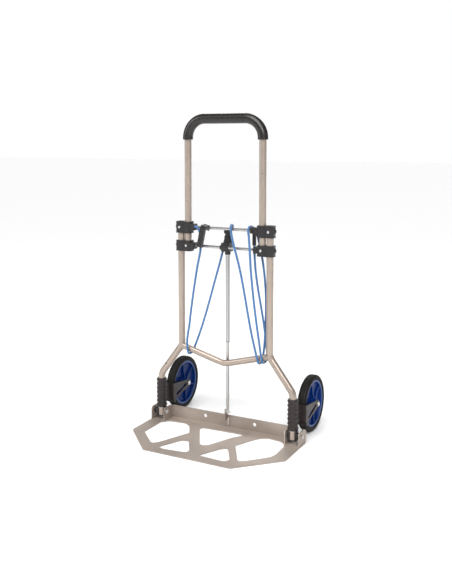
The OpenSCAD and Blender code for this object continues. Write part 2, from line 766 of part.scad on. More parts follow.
// Flattened foot of the inner rod
module rod_eye() {
    eye_t = 5;
    color(steel) difference() {
        union() {
            translate([0, rod_y, pivot_z]) x_rod(-eye_t / 2, eye_t / 2, 6);
            box(-eye_t / 2, eye_t / 2, rod_y - 5, rod_y + 5, pivot_z, inner_rod_z + eye_h);
        }
        translate([0, rod_y, pivot_z]) x_rod(-eye_t, eye_t, 2.5 + seat);
    }
}

module rod_pivot_screw() {
    color(steel) translate([0, rod_y, pivot_z]) {
        x_rod(-4, 8, 2.5);
        x_rod(2.6, 5, 4.5);
        x_rod(5, 9, 3.4);
    }
}

// ---- Wheels and their forks ----------------------------------------------

module wheel_fork(side) {
    fork_x = wheel_x;
    color(black) on_side(side) difference() {
        union() {
            translate([foot_x, 0, sleeve_low_z]) cylinder(r = sleeve_r, h = sleeve_high_z - sleeve_low_z);
            for (z = [sleeve_low_z + 3 : rib_pitch : sleeve_high_z - rib_h])
                translate([foot_x, 0, z]) cylinder(r = rib_r, h = rib_h);
            translate([fork_x - yoke_half_w, 0, 0]) rotate([90, 0, 90])
                linear_extrude(2 * yoke_half_w) polygon([
                    [yoke_front + 2, neck_low_z], [yoke_front + 6, yoke_low_z + 4], [yoke_front + 9, yoke_low_z],
                    [yoke_back, yoke_low_z], [yoke_back, yoke_high_z], [yoke_front, yoke_high_z],
                    [yoke_front, neck_low_z]]);
            translate([foot_x - neck_half_w, 0, 0]) rotate([90, 0, 90])
                linear_extrude(2 * neck_half_w) polygon([[0, neck_low_z], [yoke_front + 2, neck_low_z],
                    [yoke_front + 2, yoke_high_z], [0, yoke_high_z + 8]]);
            for (x = [fork_x - yoke_half_w, fork_x + arm_in]) translate([x, 0, 0]) rotate([90, 0, 90])
                linear_extrude(arm_t) fork_arm_outline();
        }
        translate([foot_x, 0, sleeve_low_z - eps])
            cylinder(r = tube_r + slide_gap, h = sleeve_high_z - sleeve_low_z + 2 * eps);
        translate([0, wheel_back, wheel_r])
            x_rod(fork_x - yoke_half_w - eps, fork_x + yoke_half_w + eps, axle_r + seat);
        translate([fork_x - tyre_w / 2 - 2, wheel_back, wheel_r]) rotate([0, 90, 0])
            cylinder(r = wheel_r + 3, h = tyre_w + 4);
    }
}

module fork_arm_outline() {
    difference() {
        union() {
            polygon([[yoke_back - 2, 58], [yoke_back - 2, yoke_high_z], [wheel_back + 2, wheel_r + arm_tip_r],
                [wheel_back + 5, wheel_r - arm_tip_r + 1]]);
            translate([wheel_back, wheel_r]) circle(r = arm_tip_r);
        }
        polygon(rounded_points([[yoke_back + 6, 65], [yoke_back + 4, 76], [wheel_back - 17, wheel_r + 5],
            [wheel_back - 12, wheel_r - 4]], 2.5));
    }
}
module wheel_fork_left() { wheel_fork(-1); }
module wheel_fork_right() { wheel_fork(1); }

module axle(side) {
    color(steel) on_side(side) translate([0, wheel_back, wheel_r])
        x_rod(wheel_x - yoke_half_w - nut_h, wheel_x + yoke_half_w + nut_h, axle_r);
}
module axle_left() { axle(-1); }
module axle_right() { axle(1); }

module axle_nuts(side) {
    color(steel) for (end = [-1, 1]) on_side(side)
        translate([wheel_x + end * (yoke_half_w + nut_h / 2), wheel_back, wheel_r]) rotate([0, 90, 0])
            difference() {
                cylinder(r = axle_r + 2.5, h = nut_h, center = true);
                cylinder(r = axle_r + seat, h = nut_h + eps, center = true);
            }
}

module axle_nuts_left() { axle_nuts(-1); }
module axle_nuts_right() { axle_nuts(1); }

module on_axle(side) {
    on_side(side) translate([wheel_x, wheel_back, wheel_r]) rotate([0, 90, 0]) children();
}

module tyre(side) {
    half = tyre_w / 2;
    color([0.07, 0.07, 0.07]) on_axle(side) rotate_extrude() difference() {
        union() {
            translate([rim_r, -half + tyre_round]) square([wheel_r - rim_r, tyre_w - 2 * tyre_round]);
            translate([rim_r, -half]) square([wheel_r - tyre_round - rim_r, tyre_w]);
            for (y = [-half + tyre_round, half - tyre_round])
                translate([wheel_r - tyre_round, y]) circle(r = tyre_round);
        }
        translate([0, -tyre_w]) square([rim_r, 2 * tyre_w]);
    }
}
module tyre_left() { tyre(-1); }
module tyre_right() { tyre(1); }

module rim(side) {
    color(blue) on_axle(side) difference() {
        union() {
            rotate_extrude() translate([rim_in_r, -rim_half_w]) square([rim_r - seat - rim_in_r, 2 * rim_half_w]);
            translate([0, 0, -web_t / 2]) cylinder(r = rim_in_r + 1, h = web_t);
            translate([0, 0, -hub_half_w]) cylinder(r = hub_r, h = 2 * hub_half_w);
            for (k = [0 : spokes - 1]) rotate(360 * k / spokes)
                translate([0, -spoke_t / 2, -rim_half_w + 2]) cube([rim_in_r + 1, spoke_t, 2 * rim_half_w - 4]);
        }
        translate([0, 0, -2 * hub_half_w]) cylinder(r = axle_r + bush_wall + seat, h = 4 * hub_half_w);
    }
}
module rim_left() { rim(-1); }
module rim_right() { rim(1); }

module hub_bush(side) {
    color(steel) on_axle(side) translate([0, 0, -hub_half_w - 0.2]) difference() {
        cylinder(r = axle_r + bush_wall, h = 2 * hub_half_w + 0.4);
        translate([0, 0, -eps]) cylinder(r = axle_r + running, h = 2 * hub_half_w + 2 * eps + 0.4);
    }
}
module hub_bush_left() { hub_bush(-1); }
module hub_bush_right() { hub_bush(1); }

// ---- Elastic cord and its hooks ------------------------------------------

module bungee_cord() {
    color([0.27, 0.43, 0.69]) swept_tube(curve_points(CORD, cord_steps), cord_r, cord_sides, [0, 1, 0]);
}

hook_gap = 0.6;

// Left hook: hangs over the upper crossbar from the front, leaning a little
module cord_hook_left() {
    lip_r = crossbar_r + hook_gap;
    color(black) translate([-66, 0, upper_bar_z]) difference() {
        rotate([0, 12, 0]) {
            x_rod(-8.5, 8.5, lip_r + 5);
            box(-8.5, 8.5, -26, -14.5, -62, 4);
            box(-8.5, 8.5, -22, 0, -3, 9);
            box(-8.5, 8.5, lip_r, lip_r + 4, -8, 0);
        }
        x_rod(-30, 30, lip_r);
        box(-30, 30, -14.4, lip_r, -90, 0);
    }
}

// Right hook: hangs over the upper crossbar from behind
module cord_hook_right() {
    lip_r = crossbar_r + hook_gap;
    color(black) translate([bracket_in_x - boss_len - 6, 0, upper_bar_z]) difference() {
        union() {
            x_rod(-5, 5, lip_r + 6);
            box(-5, 5, 8.5, 15.5, -48, 2);
            box(-5, 5, -lip_r - 6, -lip_r, -7, 0);
        }
        x_rod(-6, 6, lip_r);
        box(-6, 6, -lip_r, 8.4, -60, 0);
    }
}

side_tube_left();
side_tube_right();
v_crossbar();
upper_bracket_left();
upper_bracket_right();
upper_bracket_rivets();
upper_crossbar();
upper_crossbar_caps();
hinge_cup_left();
hinge_cup_right();
hinge_bolt_left();
hinge_bolt_right();
hinge_nuts();
fork_stop_rings();
handle_tube();
handle_grip();
lower_bracket_left();
lower_bracket_right();
lower_bracket_rivets();
lower_crossbar_left();
lower_crossbar_right();
lower_crossbar_caps();
lock_housing();
lock_cover();
lock_screws();
outer_rod();
rod_bush();
release_trigger();
trigger_spring();
lock_pin_left();
lock_pin_right();
toe_plate();
rod_bracket();
rod_bracket_rivets();
inner_rod();
rod_eye();
rod_pivot_screw();
wheel_fork_left();
wheel_fork_right();
axle_left();
axle_right();
axle_nuts_left();
axle_nuts_right();
tyre_left();
tyre_right();
rim_left();
rim_right();
hub_bush_left();
hub_bush_right();
bungee_cord();
cord_hook_left();
cord_hook_right();
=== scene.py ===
import json
import math

import bmesh
import bpy
from mathutils import Matrix, Vector


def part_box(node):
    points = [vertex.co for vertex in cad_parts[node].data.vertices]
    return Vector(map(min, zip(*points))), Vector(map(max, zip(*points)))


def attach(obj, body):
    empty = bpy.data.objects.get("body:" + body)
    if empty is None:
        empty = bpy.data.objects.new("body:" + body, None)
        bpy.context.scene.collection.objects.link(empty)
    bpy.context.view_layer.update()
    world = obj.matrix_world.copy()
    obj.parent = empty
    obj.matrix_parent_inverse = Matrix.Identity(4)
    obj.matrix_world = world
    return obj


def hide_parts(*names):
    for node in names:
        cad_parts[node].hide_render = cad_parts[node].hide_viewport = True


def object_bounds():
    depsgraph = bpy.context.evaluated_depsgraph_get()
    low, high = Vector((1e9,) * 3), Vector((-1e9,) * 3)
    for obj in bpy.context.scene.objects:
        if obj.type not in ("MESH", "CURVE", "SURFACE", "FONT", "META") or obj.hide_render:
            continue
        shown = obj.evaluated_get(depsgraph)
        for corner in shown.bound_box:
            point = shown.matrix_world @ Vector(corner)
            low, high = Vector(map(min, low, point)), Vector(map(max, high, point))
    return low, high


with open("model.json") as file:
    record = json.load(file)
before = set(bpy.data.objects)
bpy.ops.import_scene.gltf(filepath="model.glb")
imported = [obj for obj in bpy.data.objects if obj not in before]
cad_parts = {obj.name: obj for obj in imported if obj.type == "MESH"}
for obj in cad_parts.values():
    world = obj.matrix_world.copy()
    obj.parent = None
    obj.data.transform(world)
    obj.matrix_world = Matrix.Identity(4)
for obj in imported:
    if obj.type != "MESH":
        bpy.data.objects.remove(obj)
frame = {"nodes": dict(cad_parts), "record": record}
cad_box = [list(v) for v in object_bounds()]
NODES = frame["nodes"]
BODY_OF = {n: b for b, ns in frame["record"]["behaviour"]["bodies"].items() for n in ns}
SLOT_OF = {s["node"]: s.get("material_slot") for s in frame["record"]["subparts"]}
SIGN = {"left": -1, "right": 1}

# All sizes are in metres, but for the cord's points.
RIB_EDGE = 0.0003
FIT = 0.0001
BEVEL_STEPS = 2
CORNER_STEPS = 6
TYRE_STEPS = 128
WEB_STEPS = 96
HUB_STEPS = 72
WASHER_STEPS = 56

# In degrees: edges sharper than this stay sharp, or are rounded, on CAD copies and on new pieces.
CAD_SHARP, CAD_ROUND = 30, 35
NEW_SHARP, NEW_ROUND = 35, 40


# ---- Materials ------------------------------------------------------------

# The plate's dots: the wavelength of x + y and of x - y, and how much painted highlight they add to the
# paint.
DOT_WAVE = 0.0160
DOT_HIGHLIGHT_SHARE = 0.7
# Waves in the cord's weave: round it, and along its whole length.
WEAVE_ROUND = 5
WEAVE_ALONG = 330


class Mat:
    """A small builder for a procedural material in object coordinates, in metres."""

    def __init__(self, name, color, rough, metal=0.0):
        self.m = bpy.data.materials.new(name)
        self.m.use_nodes = True
        self.t = self.m.node_tree
        self.bsdf = self.t.nodes["Principled BSDF"]
        self.shader(Base_Color=(*color, 1), Roughness=rough, Metallic=metal)
        self.coord = self.node("ShaderNodeTexCoord").outputs["Object"]
        self.normal = None

    def shader(self, **sockets):
        """Sets the shader's own sockets, with _ for each space in a name."""
        for k, v in sockets.items():
            self.bsdf.inputs[k.replace("_", " ")].default_value = v

    def node(self, kind, **inputs):
        n = self.t.nodes.new(kind)
        for k, v in inputs.items():
            n.inputs[k.replace("_", " ")].default_value = v
        return n

    def link(self, a, b):
        self.t.links.new(a, b)

    def noise(self, scale, detail=3.0, stretch=(1, 1, 1)):
        mapping = self.node("ShaderNodeMapping", Scale=stretch)
        self.link(self.coord, mapping.inputs["Vector"])
        n = self.node("ShaderNodeTexNoise", Scale=scale, Detail=detail)
        self.link(mapping.outputs[0], n.inputs["Vector"])
        return n.outputs["Fac"]

    def ramp(self, value, low, high, a, b):
        r = self.node("ShaderNodeMapRange", From_Min=low, From_Max=high, To_Min=a, To_Max=b)
        self.link(value, r.inputs["Value"])
        return r.outputs["Result"]

    def math(self, op, a, b=None):
        n = self.t.nodes.new("ShaderNodeMath")
        n.operation = op
        for i, v in enumerate((a, b)):
            if v is None:
                continue
            if isinstance(v, (int, float)):
                n.inputs[i].default_value = v
            else:
                self.link(v, n.inputs[i])
        return n.outputs[0]

    def tint(self, value, color_a, color_b, low=0.3, high=0.7):
        """Colour from a to b as value goes from low to high."""
        mix = self.t.nodes.new("ShaderNodeMix")
        mix.data_type = "RGBA"
        mix.inputs["A"].default_value = (*color_a, 1)
        mix.inputs["B"].default_value = (*color_b, 1)
        self.link(self.ramp(value, low, high, 0, 1), mix.inputs["Factor"])
        self.link(mix.outputs["Result"], self.bsdf.inputs["Base Color"])

    def roughness(self, value, a, b, low=0.3, high=0.7):
        """Roughness from a to b as value goes from low to high."""
        self.link(self.ramp(value, low, high, a, b), self.bsdf.inputs["Roughness"])

    def soft_edges(self, radius):
        b = self.node("ShaderNodeBevel", Radius=radius)
        b.samples = 4
        self.normal = b.outputs["Normal"]
        self.link(self.normal, self.bsdf.inputs["Normal"])

    def bump(self, value, distance, strength=1.0):
        b = self.node("ShaderNodeBump", Strength=strength, Distance=distance)
        self.link(value, b.inputs["Height"])
        if self.normal:
            self.link(self.normal, b.inputs["Normal"])
        self.normal = b.outputs["Normal"]
        self.link(self.normal, self.bsdf.inputs["Normal"])


def tube_paint():
    """Smooth metallic paint under a thin coat."""
    m = Mat("frame_paint", (0.46, 0.375, 0.31), 0.33, 0.7)
    m.tint(m.noise(9, 4), (0.395, 0.327, 0.277), (0.45, 0.373, 0.318))
    m.roughness(m.noise(60, 3), 0.27, 0.38)
    m.bump(m.noise(1900, 2), 0.00002, 0.25)
    m.shader(Coat_Weight=0.25, Coat_Roughness=0.25)
    return m.m


def plate_paint(name, embossed):
    """Mottled paint on sheet metal. embossed adds rows of raised dots on faces that look up, each with a
    painted highlight.
    """
    m = Mat(name, (0.42, 0.345, 0.29), 0.45, 0.4)
    m.roughness(m.noise(45, 3), 0.38, 0.52)
    m.soft_edges(0.0009)
    mottle_and_dot_highlight = m.noise(7, 5)
    if embossed:
        sep = m.t.nodes.new("ShaderNodeSeparateXYZ")
        m.link(m.coord, sep.inputs[0])
        x, y = sep.outputs["X"], sep.outputs["Y"]
        wave = 2 * math.pi / DOT_WAVE
        u = m.math("SINE", m.math("MULTIPLY", m.math("ADD", x, y), wave))
        v = m.math("SINE", m.math("MULTIPLY", m.math("SUBTRACT", x, y), wave))
        dots = m.ramp(m.math("MULTIPLY", u, v), 0.1, 0.5, 0, 1)
        up = m.t.nodes.new("ShaderNodeSeparateXYZ")
        m.link(m.t.nodes.new("ShaderNodeTexCoord").outputs["Normal"], up.inputs[0])
        dots = m.math("MULTIPLY", dots, m.ramp(up.outputs["Z"], 0.8, 0.9, 0, 1))
        # Painted highlight: the raised dots are painted lighter than the paint around them, on top of the
        # random mottle.
        mottle_and_dot_highlight = m.math("ADD", m.math("MULTIPLY", dots, DOT_HIGHLIGHT_SHARE), mottle_and_dot_highlight)
        m.bump(dots, 0.0011, 1.0)
    m.tint(mottle_and_dot_highlight, (0.265, 0.22, 0.188), (0.56, 0.478, 0.42), 0.35, 1.1)
    m.bump(m.noise(1500, 2), 0.00005, 0.5)
    return m.m


def plastic(name, color, rough, grain=0.00006, edge=0.0007, spread=0.25, shine=0.38):
    """Moulded plastic. spread is how far its colour varies, as a share of it."""
    m = Mat(name, color, rough)
    m.tint(m.noise(14, 4), [c * (1 - spread) for c in color], [c * (1 + spread) for c in color])
    m.roughness(m.noise(70, 3), rough - 0.06, rough + 0.08)
    m.soft_edges(edge)
    m.bump(m.noise(1400, 3), grain, 0.8)
    m.shader(Specular_IOR_Level=shine)
    return m.m


def metal(name, color, rough, brushed):
    """Bare metal. brushed scales its pattern along each axis: below 1 makes streaks."""
    m = Mat(name, color, rough, 1.0)
    m.roughness(m.noise(35, 4, brushed), rough * 0.8, rough * 1.3)
    m.tint(m.noise(20, 3, brushed), [c * 0.94 for c in color], [min(1, c * 1.05) for c in color])
    m.soft_edges(0.0004)
    return m.m


def rubber():
    """Matt black tyre rubber."""
    m = Mat("tyre_rubber", (0.007, 0.0062, 0.0056), 0.6)
    m.tint(m.noise(25, 5), (0.005, 0.0044, 0.004), (0.010, 0.009, 0.008), 0.35, 0.75)
    m.roughness(m.noise(90, 3), 0.5, 0.72)
    m.soft_edges(0.0008)
    m.bump(m.noise(1100, 4), 0.00012, 0.7)
    m.shader(Specular_IOR_Level=0.2)
    return m.m


def foam():
    """The grip's smooth dark foam."""
    m = Mat("grip_foam", (0.004, 0.0033, 0.0032), 0.32)
    m.tint(m.noise(30, 4), (0.006, 0.0035, 0.0033), (0.012, 0.0075, 0.0072))
    m.roughness(m.noise(160, 4), 0.24, 0.36)
    m.soft_edges(0.001)
    m.bump(m.noise(2200, 4), 0.00003, 0.3)
    m.shader(Specular_IOR_Level=0.6)
    return m.m


def braid():
    """The cord's woven sheath, from its UVs: two sets of strands that cross."""
    m = Mat("cord_sheath", (0.06, 0.17, 0.45), 0.7)
    uv = m.t.nodes.new("ShaderNodeTexCoord").outputs["UV"]
    sep = m.t.nodes.new("ShaderNodeSeparateXYZ")
    m.link(uv, sep.inputs[0])
    around = m.math("MULTIPLY", sep.outputs["Y"], 2 * math.pi * WEAVE_ROUND)
    along = m.math("MULTIPLY", sep.outputs["X"], 2 * math.pi * WEAVE_ALONG)
    a = m.math("SINE", m.math("ADD", along, around))
    b = m.math("SINE", m.math("SUBTRACT", along, around))
    weave = m.math("MAXIMUM", a, b)
    # Painted shade and highlight: the colour darkens in the gaps between the strands and lightens on their
    # crests, following the weave's height.
    m.tint(weave, (0.022, 0.086, 0.235), (0.066, 0.195, 0.43), -0.2, 1.0)
    m.bump(weave, 0.00035, 0.8)
    m.bump(m.noise(2500, 3), 0.00008, 0.6)
    m.shader(Sheen_Weight=0.3, Sheen_Roughness=0.5)
    return m.m


MATS = {
    "frame_paint": tube_paint(),
    "plate_paint": plate_paint("plate_paint", True),
    "plate_edge": plate_paint("plate_edge", False),
    "chrome": metal("chrome", (0.50, 0.495, 0.49), 0.2, (1, 1, 0.2)),
    "zinc": metal("zinc", (0.66, 0.655, 0.65), 0.28, (1, 1, 1)),
    "black_plastic": plastic("black_plastic", (0.014, 0.0125, 0.0138), 0.28, shine=0.5),
    "fork_plastic": plastic("fork_plastic", (0.023, 0.0175, 0.017), 0.40),
    "grip_foam": foam(),
    "tyre_rubber": rubber(),
    "rim_plastic": plastic("rim_plastic", (0.0005, 0.019, 0.125), 0.30, grain=0.00004, edge=0.0008,
                           spread=0.2, shine=0.12),
    # The rim's lip: a lighter copy of the rim's blue plastic, as a painted highlight.
    "rim_lip_highlight": plastic("rim_lip_highlight", (0.030, 0.065, 0.20), 0.36, grain=0.00004, edge=0.0008, spread=0.15),
    "bush_plastic": plastic("bush_plastic", (0.10, 0.10, 0.10), 0.4),
    "cord_sheath": braid(),
}


def paint(obj, mat):
    obj.data.materials.clear()
    obj.data.materials.append(MATS[mat])


# ---- Building blocks ------------------------------------------------------

def place(name, data):
    """A new object in the scene."""
    obj = bpy.data.objects.new(name, data)
    bpy.context.scene.collection.objects.link(obj)
    return obj


def new_object(name, bm, mat, body, angle):
    """A piece from a bmesh, smooth but for edges sharper than angle."""
    me = bpy.data.meshes.new(name)
    bm.to_mesh(me)
    bm.free()
    obj = place(name, me)
    me.materials.append(MATS[mat])
    me.shade_smooth()
    me.set_sharp_from_angle(angle=math.radians(angle))
    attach(obj, body)
    return obj


def round_edges(obj, width, angle):
    """Rounds the edges that are sharper than angle."""
    mod = obj.modifiers.new("edges", "BEVEL")
    mod.width = width
    mod.segments = BEVEL_STEPS
    mod.limit_method = "ANGLE"
    mod.angle_limit = math.radians(angle)
    mod.harden_normals = True


def node_mesh(node):
    """A CAD node's own mesh as a new bmesh, welded, with its flat faces made whole."""
    bm = bmesh.new()
    bm.from_mesh(NODES[node].data)
    bmesh.ops.remove_doubles(bm, verts=bm.verts, dist=3e-6)
    bmesh.ops.dissolve_limit(bm, angle_limit=math.radians(0.6), verts=bm.verts, edges=bm.edges,
                             delimit={"NORMAL"})
    return bm


def bevelled(node, width, mat):
    """A copy of a CAD node with its hard edges rounded, which stands for it."""
    obj = new_object(node + "_finish", node_mesh(node), mat, BODY_OF[node], CAD_SHARP)
    round_edges(obj, width, CAD_ROUND)
    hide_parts(node)
    return obj


def add_box(bm, lo, hi, matrix=None):
    """A box from corner to corner, turned by matrix."""
    for v in bmesh.ops.create_cube(bm, size=1)["verts"]:
        v.co = Vector([(hi[k] + lo[k]) / 2 + v.co[k] * (hi[k] - lo[k]) for k in range(3)])
        if matrix:
            v.co = matrix @ v.co


def add_lathe(bm, centre, profile, steps):
    """A closed profile of (x, radius) pairs turned about the X axis through centre."""
    rings = []
    for k in range(steps):
        a = 2 * math.pi * k / steps
        rings.append([bm.verts.new((centre[0] + x, centre[1] + r * math.cos(a), centre[2] + r * math.sin(a)))
                      for x, r in profile])
    n = len(profile)
    for k in range(steps):
        for i in range(n):
            a, b = rings[k], rings[(k + 1) % steps]
            bm.faces.new((a[i], b[i], b[(i + 1) % n], a[(i + 1) % n]))


def arc(cx, cy, r, a0, a1, n):
    """Points on an arc from a0 to a1 degrees, in n steps."""
    return [(cx + r * math.cos(math.radians(a0 + (a1 - a0) * k / n)),
             cy + r * math.sin(math.radians(a0 + (a1 - a0) * k / n))) for k in range(n + 1)]


def outline(x0, x1, y0, y1, r):
    """A rectangle with round corners, as points in order."""
    n = CORNER_STEPS
    return (arc(x1 - r, y1 - r, r, 0, 90, n) + arc(x0 + r, y1 - r, r, 90, 180, n)
            + arc(x0 + r, y0 + r, r, 180, 270, n) + arc(x1 - r, y0 + r, r, 270, 360, n))


def add_loft(bm, sections):
    """Joins rings of points, given as (points, z) in order, and closes both ends."""
    rings = [[bm.verts.new((x, y, z)) for x, y in pts] for pts, z in sections]
    n = len(rings[0])
    for a, b in zip(rings, rings[1:]):
        for i in range(n):
            bm.faces.new((a[i], a[(i + 1) % n], b[(i + 1) % n], b[i]))
    bm.faces.new(list(reversed(rings[0])))
    bm.faces.new(rings[-1])


def extra(name, bm, mat, body, bevel):
    """A piece made here from a bmesh. bevel is the width of its rounded edges, or 0."""
    bmesh.ops.recalc_face_normals(bm, faces=bm.faces)
    obj = new_object(name, bm, mat, body, NEW_SHARP)
    if bevel:
        round_edges(obj, bevel, NEW_ROUND)
    return obj


# ---- Detailed pieces ------------------------------------------------------

def bracket_trim(node):
    """Moulded lips and ribs on a tube bracket."""
    boss, lip, proud, inset, corner = 0.013, 0.003, 0.0007, 0.001, 0.009
    rib_off, rib_half = 0.0035, 0.0007
    lo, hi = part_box(node)
    side = -1 if lo.x < 0 else 1
    x_out = max(abs(lo.x), abs(hi.x)) - inset
    x_in = min(abs(lo.x), abs(hi.x)) + boss
    x0, x1 = sorted((side * x_in, side * x_out))
    bm = bmesh.new()
    for z0, z1 in ((lo.z, lo.z + lip), (hi.z - lip, hi.z)):
        out = outline(x0 - proud, x1 + proud, lo.y - proud, hi.y + proud, corner + proud)
        inn = outline(x0 + inset, x1 - inset, lo.y + inset, hi.y - inset, corner - inset)
        rings = [[bm.verts.new((x, y, z)) for x, y in pts]
                 for pts, z in ((out, z0), (out, z1), (inn, z1), (inn, z0))]
        n = len(out)
        for k in range(4):
            a, b = rings[k], rings[(k + 1) % 4]
            for i in range(n):
                bm.faces.new((a[i], a[(i + 1) % n], b[(i + 1) % n], b[i]))
    mid = (x0 + x1) / 2
    for y0, y1 in ((lo.y - proud, lo.y + inset), (hi.y - inset, hi.y + proud)):
        for x in (mid - rib_off, mid + rib_off):
            add_box(bm, (x - rib_half, y0, lo.z + lip), (x + rib_half, y1, hi.z - lip))
    extra(node + "_trim", bm, "black_plastic", BODY_OF[node], RIB_EDGE)


def lock_trim():
    """The flared neck over the lock, with ribs down its front, and the knob's grip ribs."""
    rib_off, rib_half = 0.0062, 0.0006
    rib_front, rib_back = 0.0106, 0.0080
    knob_r, knob_ribs, knob_half = 0.0121, 20, 0.0008
    neck_sink, neck_drop = 0.0005, 0.0205
    lock_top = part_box("lock_cover")[1]
    knob_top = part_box("release_trigger")[1].z
    rod_lo, rod_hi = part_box("outer_rod")
    cy = (rod_lo.y + rod_hi.y) / 2
    back = lock_top.y - 0.001
    z0, z1 = lock_top.z - neck_sink, knob_top - neck_drop
    # From the bottom up: left, right, front, back, corner radius, height.
    stations = (
        (-0.0125, 0.0138, cy - 0.0100, back, 0.004, z0),
        (-0.0118, 0.0126, cy - 0.0098, back, 0.004, z0 + 0.004),
        (-0.0098, 0.0098, cy - 0.0094, cy + 0.0094, 0.005, z0 + 0.013),
        (-0.0088, 0.0088, cy - 0.0088, cy + 0.0088, 0.006, z1))
    bm = bmesh.new()
    add_loft(bm, [(outline(*plan), z) for *plan, z in stations])
    extra("lock_neck", bm, "black_plastic", "handle", 0)
    bm = bmesh.new()
    for x in (-rib_off, 0, rib_off):
        add_box(bm, (x - rib_half, cy - rib_front, z0 + 0.001), (x + rib_half, cy - rib_back, z1 - 0.002))
    extra("lock_neck_ribs", bm, "black_plastic", "handle", RIB_EDGE)
    bm = bmesh.new()
    for k in range(knob_ribs):
        spin = Matrix.Rotation(2 * math.pi * k / knob_ribs, 4, "Z")
        add_box(bm, (0.0110, -knob_half, knob_top - 0.0118), (knob_r, knob_half, knob_top - 0.002),
                Matrix.Translation((0, cy, 0)) @ spin)
    extra("knob_ribs", bm, "black_plastic", "trigger", RIB_EDGE)


def hook_trim():
    """A raised frame and ridges on the left cord hook's face."""
    hook_x, lean = -0.066, 12
    rail_proud, ridge_proud, sunk = 0.0010, 0.0006, 0.0006
    ridges, ridge_half, ridge_pitch = 5, 0.0055, 0.006
    ridge_z0, ridge_z1 = -0.012, -0.0105
    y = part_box("cord_hook_left")[0].y
    bar_lo, bar_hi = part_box("upper_crossbar")
    turn = Matrix.Translation((hook_x, 0, (bar_lo.z + bar_hi.z) / 2))
    turn = turn @ Matrix.Rotation(math.radians(lean), 4, "Y")
    # Left, right, bottom and top of each, from the crossbar's middle.
    rails = ((-0.0083, -0.0065, -0.044, 0.002), (0.0065, 0.0083, -0.044, 0.002),
             (-0.0083, 0.0083, -0.0615, -0.0435), (-0.0083, 0.0083, 0.0002, 0.003))
    bm = bmesh.new()
    for x0, x1, z0, z1 in rails:
        add_box(bm, (x0, y - rail_proud, z0), (x1, y + sunk, z1), turn)
    for k in range(ridges):
        drop = ridge_pitch * k
        add_box(bm, (-ridge_half, y - ridge_proud, ridge_z0 - drop),
                (ridge_half, y + sunk, ridge_z1 - drop), turn)
    extra("cord_hook_left_trim", bm, "black_plastic", "frame", RIB_EDGE)


def make_tyre(side):
    """A solid rubber tyre with a rounded tread, two grooves and a sidewall bead."""
    shoulder, groove = 0.008, 0.0011
    lo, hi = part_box("tyre_" + side)
    rim_lo, rim_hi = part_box("rim_" + side)
    c = (lo + hi) / 2
    w, r = (hi.x - lo.x) / 2, (hi.z - lo.z) / 2
    inner = (rim_hi.z - rim_lo.z) / 2 + FIT
    wall = [(w - 0.0025, inner), (w - 0.0008, inner + 0.0008), (w - 0.0002, inner + 0.0022)]
    bead = [(w - 0.0002, r - 0.0105), (w - 0.0009, r - 0.0100), (w - 0.0009, r - 0.0090), (w, r - 0.0084)]
    tread = (arc(w - shoulder, r - shoulder, shoulder, 6, 84, 8)
             + [(0.0062, r), (0.0057, r - groove), (0.0045, r - groove), (0.0040, r)])
    half = wall + bead + tread
    bm = bmesh.new()
    add_lathe(bm, c, half + [(-x, y) for x, y in reversed(half)], TYRE_STEPS)
    obj = extra("tyre_" + side + "_finish", bm, "tyre_rubber", "wheel_" + side, 0)
    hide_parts("tyre_" + side)


def make_rim(side):
    """A moulded rim: well with a lip in a lighter blue as a painted highlight, dished web, six ribbed spokes
    and a hub.
    """
    spokes, spoke_turn = 6, 8
    lo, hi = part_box("rim_" + side)
    bush_lo, bush_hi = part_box("hub_bush_" + side)
    c = (lo + hi) / 2
    r, hub_w, bore = (hi.z - lo.z) / 2, (hi.x - lo.x) / 2, (bush_hi.z - bush_lo.z) / 2 + FIT
    well = [(0.0100, r - 0.0068), (0.0100, r - 0.0002), (-0.0100, r - 0.0002), (-0.0100, r - 0.0068),
            (-0.0026, r - 0.0100), (0.0026, r - 0.0100)]
    web = [(0.0022, bore + 0.001), (0.0030, 0.030), (0.0022, 0.052), (0.0030, r - 0.0095)]
    hub = [(hub_w, bore), (hub_w, 0.0148), (hub_w - 0.0012, 0.0160), (0.0060, 0.0168), (0.0030, 0.0200)]
    lip = ((0.0096, 0.0070), (0.0112, 0.0066), (0.0120, 0.0052), (0.0122, 0.0020), (0.0116, 0.0004),
           (0.0096, 0.0002))
    bm = bmesh.new()
    add_lathe(bm, c, well, TYRE_STEPS)
    add_lathe(bm, c, web + [(-x, y) for x, y in reversed(web)], WEB_STEPS)
    add_lathe(bm, c, hub + [(-x, y) for x, y in reversed(hub)], HUB_STEPS)
    # Along a spoke: how far out from the axle, how far the rib's face stands out, and its half width.
    stations = ((0.0155, 0.0125, 0.0030), (0.040, 0.0085, 0.0021), (r - 0.0085, 0.0092, 0.0027))
    foot_x, foot_spread = 0.0015, 1.5
    for k in range(spokes):
        turn = Matrix.Translation(c) @ Matrix.Rotation(math.radians(360 / spokes * k + spoke_turn), 4, "X")
        for s in (-1, 1):
            face = [bm.verts.new(turn @ Vector((s * x, y * h, z)))
                    for z, x, h in stations for y in (-1, 1)]
            foot = [bm.verts.new(turn @ Vector((s * foot_x, y * h * foot_spread, z)))
                    for z, x, h in stations for y in (-1, 1)]
            for i in (0, 2):
                bm.faces.new((face[i], face[i + 1], face[i + 3], face[i + 2]))
                bm.faces.new((face[i], face[i + 2], foot[i + 2], foot[i]))
                bm.faces.new((face[i + 1], foot[i + 1], foot[i + 3], face[i + 3]))
            bm.faces.new((face[0], foot[0], foot[1], face[1]))
            bm.faces.new((face[4], face[5], foot[5], foot[4]))
    obj = extra("rim_" + side + "_finish", bm, "rim_plastic", "wheel_" + side, 0.0005)
    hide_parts("rim_" + side)
    # The lip, in the lighter blue that paints its highlight.
    bm = bmesh.new()
    for s in (-1, 1):
        add_lathe(bm, c, [(s * x, r - drop) for x, drop in lip], TYRE_STEPS)
    extra("rim_" + side + "_lip", bm, "rim_lip_highlight", "wheel_" + side, 0)


